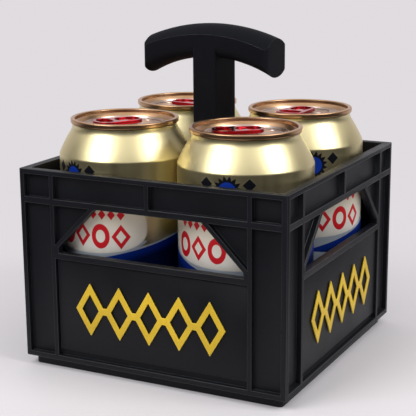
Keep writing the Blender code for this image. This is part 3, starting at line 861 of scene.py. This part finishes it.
def local_box(node, centre, turn):
    """A node's box in its can's own frame, with +X towards the mouth."""
    back = Matrix.Rotation(-turn, 3, "Z")
    points = [back @ (vertex.co - centre.to_3d()) for vertex in frame["nodes"][node].data.vertices]
    low = Vector([min(values) for values in zip(*points)])
    high = Vector([max(values) for values in zip(*points)])
    return low, high


def put(thing, centre, turn, body, *replaced):
    """Places a piece made in its can's own frame, and lets it ride on a body."""
    thing.location = (centre.x, centre.y, thing.location.z)
    thing.rotation_euler = (0, 0, turn)
    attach(thing, body)
    if replaced:
        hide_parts(*replaced)


def shoulder(wide, narrow, low, high, steps):
    """A tight convex crease, a slightly bowed cone and a concave curve that lead from wall to neck.

    The crease is tighter than the shoulder's own radius, and its corner stays where that one has it.
    """
    start = low + (SHOULDER_RADIUS - CREASE_RADIUS) * math.tan(math.atan2(wide - narrow, high - low) / 2)
    inward = wide - CREASE_RADIUS - narrow - NECK_CURVE
    rise = high - start
    apart = math.hypot(inward, rise)
    slope = math.degrees(math.atan2(inward, rise) + math.asin((CREASE_RADIUS + NECK_CURVE) / apart))
    lower = arc(wide - CREASE_RADIUS, start, CREASE_RADIUS, 0, slope - CONE_BOW, steps)
    upper = arc(narrow + NECK_CURVE, high, NECK_CURVE, 180 + slope + CONE_BOW, 180, steps)
    foot, head = Vector(lower[-1]), Vector(upper[0])
    turn = math.radians(slope - CONE_BOW)
    away = Vector((-math.sin(turn), math.cos(turn)))
    control = foot + away * (head - foot).length / 2
    cone = []
    for step in range(1, CONE_STEPS):
        share = step / CONE_STEPS
        cone.append(tuple(foot.lerp(control, share).lerp(control.lerp(head, share), share)))
    return lower + cone + upper


def can_foot(radius):
    """Profile of the domed bottom, the curl that the can stands on, and the curve out to the wall."""
    dome_half = STAND_RADIUS - STAND_CURL
    dome_radius = (dome_half ** 2 + DOME_HEIGHT ** 2) / (2 * DOME_HEIGHT)
    profile = []
    for step in range(DOME_STEPS):
        across = dome_half * step / DOME_STEPS
        profile.append((across, DOME_HEIGHT - dome_radius + math.sqrt(dome_radius ** 2 - across ** 2)))
    profile += arc(STAND_RADIUS, STAND_CURL, STAND_CURL, 180, STAND_CURL_END, STAND_STEPS)
    start_across, start_height = profile[-1]
    rise = STAND_HEIGHT - STAND_CURL
    for step in range(1, STAND_STEPS + 1):
        angle = math.pi / 2 * step / STAND_STEPS
        across = start_across + (radius - start_across) * math.sin(angle)
        profile.append((across, start_height + rise * (1 - math.cos(angle))))
    return profile


def can_shell_mesh(radius, height):
    """The can body in its own frame, standing on z = 0."""
    flange = height - SEAM_HEIGHT - GAP
    neck_low = height - SEAM_HEIGHT - NECK_HEIGHT
    wall_top = neck_low - SHOULDER_HEIGHT
    inner = radius - CAN_WALL
    inner_neck = NECK_RADIUS - CAN_WALL
    fill = height - HEADSPACE
    profile = can_foot(radius) + shoulder(radius, NECK_RADIUS, wall_top, neck_low, SHOULDER_STEPS)
    profile += [(NECK_RADIUS, flange), (inner_neck, flange)]
    profile += shoulder(inner, inner_neck, wall_top, neck_low, INNER_SHOULDER_STEPS)[::-1]
    profile += [(inner, fill), (0, fill)]
    return turned(profile)


def seam_profile(seam_radius, seam_low, top):
    """Profile over the seam: out and up its outside, and over its lip to the inside."""
    outer = seam_radius - SEAM_ROUND
    inner = seam_radius - SEAM_LIP + SEAM_ROUND / 2
    profile = [(outer, seam_low)]
    profile += arc(outer, seam_low + SEAM_ROUND, SEAM_ROUND, 270, 360, EDGE_STEPS)[1:]
    profile += arc(outer, top - SEAM_ROUND, SEAM_ROUND, 0, 90, SEAM_STEPS)
    profile += arc(inner, top - SEAM_ROUND, SEAM_ROUND, 90, SEAM_LIP_END, SEAM_STEPS)
    return profile


def groove_profile(inner, outer, low):
    """Profile of the round groove between the chuck wall and the panel."""
    middle = (inner + outer) / 2
    half = (outer - inner) / 2
    profile = []
    for step in range(GROOVE_STEPS + 1):
        angle = math.pi * step / GROOVE_STEPS
        profile.append((middle + half * math.cos(angle), low + GROOVE_ROUND * (1 - math.sin(angle))))
    return profile


def panel_profile(panel_top):
    """Profile of the ring round the panel, the step inside it and the panel itself."""
    ring_top = panel_top + RING_RISE
    ring_in = PANEL_RADIUS - RING_WIDTH
    profile = arc(PANEL_RADIUS - PANEL_ROUND, ring_top - PANEL_ROUND, PANEL_ROUND, 0, 90, EDGE_STEPS)
    profile += [(ring_in, ring_top), (ring_in - RING_SLOPE, panel_top)]
    profile.append((PANEL_STEP_RADIUS + PANEL_STEP, panel_top))
    profile.append((PANEL_STEP_RADIUS, panel_top - PANEL_STEP))
    profile.append((0, panel_top - PANEL_STEP))
    return profile


def end_mesh(seam_radius, top):
    """The end in its can's own frame, at its height in the crate."""
    seam_low = top - SEAM_HEIGHT
    seam_in = seam_radius - SEAM_LIP
    groove_low = top - CHUCK_DEPTH
    chuck_foot = seam_in - CHUCK_TAPER
    panel_top = top - PANEL_DEPTH
    panel_edge = PANEL_RADIUS - END_SHEET
    step_out = seam_in - CHUCK_LEAN
    profile = [(0, panel_top - END_SHEET), (panel_edge, panel_top - END_SHEET)]
    profile += [(panel_edge, groove_low - END_SHEET), (chuck_foot, groove_low - END_SHEET)]
    profile.append((seam_in - END_SHEET / 2, seam_low))
    profile += seam_profile(seam_radius, seam_low, top)
    profile.append((step_out, top - CHUCK_STEP_DEPTH))
    profile.append((step_out - CHUCK_STEP, top - CHUCK_STEP_DEPTH - CHUCK_STEP))
    profile += groove_profile(PANEL_RADIUS, chuck_foot - END_SHEET, groove_low)
    profile += panel_profile(panel_top)
    return turned(profile)


def rivet_mesh(base, stem_top):
    """The rivet's stem and low domed head."""
    profile = [(0, base), (RIVET_RADIUS, base), (RIVET_RADIUS, stem_top), (RIVET_HEAD_RADIUS, stem_top)]
    for share_out, share_up in RIVET_DOME_SHARES:
        profile.append((RIVET_HEAD_RADIUS * share_out, stem_top + RIVET_HEAD_THICK * share_up))
    profile.append((0, stem_top + RIVET_HEAD_THICK))
    return turned(profile, RIVET_STEPS)


def tab_outline(low, high, half):
    """The tab from above: finger end at low, nose at high."""
    points = []
    nose_half = half * NOSE_SHARE
    nose_length = nose_half * ROUND_SHARE
    for x, y in arc(0, 0, 1, -TAB_ROUND_END, TAB_ROUND_END, NOSE_STEPS):
        points.append((high - nose_length + nose_length * x, nose_half * y))
    finger_length = half * ROUND_SHARE
    for x, y in arc(0, 0, 1, 180 - TAB_ROUND_END, 180 + TAB_ROUND_END, FINGER_STEPS):
        points.append((low + finger_length + finger_length * x, half * y))
    return points


def make_tab(side, centre, turn, material):
    """The tab without its tongue, with a finger hole, a recess round the rivet and the tongue's slot."""
    low, high = local_box("tab_" + side, centre, turn)
    base = low.z + TAB_LIFT
    outline = tab_outline(low.x, high.x, high.y)
    tab = new_object("pull_tab_" + side, prism(outline, base, base + TAB_THICK), material)
    finger_low = low.x + TAB_RIM
    finger = squared_oval(finger_low, finger_low + FINGER_HOLE_LENGTH, high.y - TAB_RIM)
    recess_high = high.x - RECESS_NOSE_RIM
    recess_half = high.y * NOSE_SHARE - TAB_RIM * NOSE_SHARE
    recess = squared_oval(recess_high - RECESS_LENGTH, recess_high, recess_half)
    slot_high = TONGUE_LENGTH / 2 + TONGUE_GAP / 2
    slot = squared_oval(-slot_high, slot_high, TONGUE_WIDTH / 2 + TONGUE_GAP, OVAL_POWER)
    bottom, top = low.z - OVERRUN, high.z + OVERRUN
    carve(tab, [(finger, bottom, top), (recess, base + TAB_WEB, top), (slot, bottom, top)])
    bevel(tab, TAB_EDGE)
    return tab


def make_tongue(side, centre, turn, material):
    low, high = local_box("tab_tongue_" + side, centre, turn)
    outline = squared_oval(low.x, high.x, high.y, OVAL_POWER, TONGUE_STEPS)
    tongue = new_object("rivet_tongue_" + side, prism(outline, low.z, high.z), material)
    reach = RIVET_RADIUS + GAP
    hole = squared_oval(-reach, reach, reach, OVAL_POWER, RIVET_HOLE_STEPS)
    carve(tongue, [(hole, low.z - OVERRUN, high.z + OVERRUN)])
    bevel(tongue, TONGUE_EDGE, FINE_SEGMENTS)
    return tongue


def bead_mesh(outline, width, base):
    """A low round bead that follows an outline."""
    bm = bmesh.new()
    count = len(outline)
    rings = []
    for index, (x, y) in enumerate(outline):
        before = Vector(outline[index - 1])
        after = Vector(outline[(index + 1) % count])
        tangent = (after - before).normalized()
        normal = Vector((tangent.y, -tangent.x))
        ring = []
        for a, b in arc(0, 0, width / 2, -90, BEAD_END, BEAD_STEPS):
            ring.append(bm.verts.new((x + normal.x * a, y + normal.y * a, base + b)))
        rings.append(ring)
    for index, ring in enumerate(rings):
        following = rings[(index + 1) % count]
        for step in range(len(ring)):
            beside = (step + 1) % len(ring)
            bm.faces.new((ring[step], ring[beside], following[beside], following[step]))
    return bm


def make_mouth(side, centre, turn, material):
    """The scored mouth panel and the bead on it."""
    low, high = local_box("mouth_panel_" + side, centre, turn)
    outline = squared_oval(low.x, high.x, high.y)
    top = high.z - PANEL_STEP
    panel = new_object("mouth_" + side, prism(outline, low.z, top), material)
    bevel(panel, MOUTH_EDGE, FINE_SEGMENTS)
    inner = squared_oval(low.x + TAB_RIM, high.x - TAB_RIM, high.y - TAB_RIM)
    bead = new_object("mouth_bead_" + side, bead_mesh(inner, MOUTH_BEAD, top), material)
    return [panel, bead]


def make_end(side, centre, turn, top, material):
    """The can's end with its opening for the mouth panel."""
    panel_top = top - PANEL_DEPTH
    end = new_object("lid_" + side, end_mesh(node_radius("can_end_" + side), top), material)
    low, high = local_box("mouth_panel_" + side, centre, turn)
    opening = squared_oval(low.x - GAP, high.x + GAP, high.y + GAP)
    carve(end, [(opening, panel_top - END_SHEET - OVERRUN, panel_top + OVERRUN)])
    smooth(end.data)
    return end


def make_rivet(side, centre, turn, top, material):
    stem_top = local_box("tab_tongue_" + side, centre, turn)[1].z + RIVET_LIFT
    base = top - PANEL_DEPTH - PANEL_STEP
    return new_object("rivet_" + side, rivet_mesh(base, stem_top), material)


# Direction that the middle of each can's print faces, in degrees from +X.
PRINT_TURNS = {"front_right": -80, "front_left": -109.5, "back_right": -55, "back_left": 60}


def make_can(side, print_material, metal, red, bright):
    """All pieces of one can, each on the body that it moves with."""
    centre, bottom, top, turn = can_data(side)
    can, pull, mouth = "can_" + side, "pull_" + side, "mouth_" + side

    shell_mesh = can_shell_mesh(node_radius("can_body_" + side), top - bottom)
    shell = new_object("can_shell_" + side, shell_mesh, print_material)
    shell.location.z = bottom
    put(shell, centre, math.radians(PRINT_TURNS[side]), can, "can_body_" + side)
    end = make_end(side, centre, turn, top, metal)
    put(end, centre, turn, can, "can_end_" + side)
    rivet = make_rivet(side, centre, turn, top, bright)
    put(rivet, centre, turn, can)

    tab = make_tab(side, centre, turn, red)
    put(tab, centre, turn, pull, "tab_" + side)
    tongue = make_tongue(side, centre, turn, red)
    put(tongue, centre, turn, can, "tab_tongue_" + side)
    panel, bead = make_mouth(side, centre, turn, metal)
    put(panel, centre, turn, mouth, "mouth_panel_" + side)
    put(bead, centre, turn, mouth)


def outward(azimuth, elevation):
    """Unit direction that rises by the elevation and is turned by the azimuth from -Y, in radians."""
    level = math.cos(elevation)
    return Vector((math.sin(azimuth) * level, -math.cos(azimuth) * level, math.sin(elevation)))


def make_camera():
    angles = (CAMERA_AZIMUTH, CAMERA_ELEVATION, CAMERA_ROLL)
    azimuth, elevation, roll = (math.radians(angle) for angle in angles)
    out = outward(azimuth, elevation)
    level = Vector((math.cos(azimuth), math.sin(azimuth), 0))
    right = math.cos(roll) * level + math.sin(roll) * out.cross(level)
    data = bpy.data.cameras.new("camera")
    data.sensor_width = SENSOR_MM
    data.lens = FOCAL_PIXELS / IMAGE_PIXELS * SENSOR_MM
    camera = bpy.data.objects.new("camera", data)
    stance = Matrix((right, out.cross(right), out)).transposed().to_4x4()
    stance.translation = Vector(AIM) + CAMERA_DISTANCE * out
    camera.matrix_world = stance
    bpy.context.scene.collection.objects.link(camera)
    bpy.context.scene.camera = camera


def make_lamps():
    for name, (aside, elevation, distance, width, height, power) in LAMPS.items():
        out = outward(math.radians(CAMERA_AZIMUTH + aside), math.radians(elevation))
        data = bpy.data.lights.new(name, "AREA")
        data.shape = "RECTANGLE"
        data.size = width
        data.size_y = height
        data.energy = power
        lamp = bpy.data.objects.new(name, data)
        lamp.location = Vector(AIM) + distance * out
        lamp.rotation_euler = out.to_track_quat("Z", "Y").to_euler()
        bpy.context.scene.collection.objects.link(lamp)


def make_world():
    """Soft light from all round, and a pale background where a ray meets nothing."""
    world = bpy.data.worlds.new("studio")
    world.use_nodes = True
    graph = Graph.of(world.node_tree)
    direction = graph.node("ShaderNodeSeparateXYZ")
    graph.tree.links.new(graph.node("ShaderNodeTexCoord").outputs["Generated"], direction.inputs[0])
    axes = direction.outputs
    path = graph.node("ShaderNodeLightPath").outputs
    ahead = graph.above(towards_open_side(graph, axes), OPEN_SIDE_START, OPEN_SIDE_BLUR)
    overhead = graph.above(axes["Z"], CEILING_LOW, CEILING_BLUR)
    front = graph.mix(overhead, (*FRONT_DARK, 1), (*CEILING, 1))
    around = graph.mix(ahead, (*BACKDROP, 1), front)
    colour = graph.mix(path["Is Camera Ray"], around, (*BACKDROP, 1))
    strength = graph.math("MULTIPLY_ADD", path["Is Diffuse Ray"], ROOM_SHARE - 1, 1.0)
    background = graph.tree.nodes["Background"]
    graph.link(colour, background.inputs["Color"])
    graph.link(strength, background.inputs["Strength"])
    bpy.context.scene.world = world


def make_floor():
    bm = bmesh.new()
    for x, y in ((-1, -1), (1, -1), (1, 1), (-1, 1)):
        bm.verts.new((x * FLOOR_HALF, y * FLOOR_HALF, 0))
    bm.faces.new(list(bm.verts))
    floor = new_object("floor", bm, floor_surface())


SMOOTHING = smoothing_group()
bpy.context.scene.view_settings.view_transform = "Standard"

make_camera()
make_lamps()
make_world()
make_floor()

plastics = {name: printed_plastic(name, *look) for name, look in PLASTICS.items()}
dress_node("crate_shell", plastics["crate_plastic"], plastics["crate_edge_highlight"], CRATE_EDGE)
make_handle(plastics["handle_plastic"], plastics["handle_edge_highlight"])
for wall in ("front", "right"):
    dress_node("sign_plate_" + wall, plastics["plate_plastic"], plastics["crate_edge_highlight"], PLATE_EDGE)
    dress_node("relief_" + wall, plastics["frieze_plastic"], plastics["frieze_edge_highlight"], RELIEF_EDGE)

printed = can_print(node_radius("can_body_front_right"))
rose = rolled_metal("end_metal", END_ROSE, END_ROSE_SHADE, END_ROUGHNESS, END_GRAIN_DEPTH, END_PALE)
red = rolled_metal("tab_metal", TAB_RED, TAB_RED_SHADE, TAB_ROUGHNESS, METAL_GRAIN_DEPTH)
bright = rolled_metal("rivet_metal", RIVET_PALE, RIVET_PALE_SHADE, RIVET_ROUGHNESS, METAL_GRAIN_DEPTH)
for can_side in SIDES:
    make_can(can_side, printed, rose, red, bright)
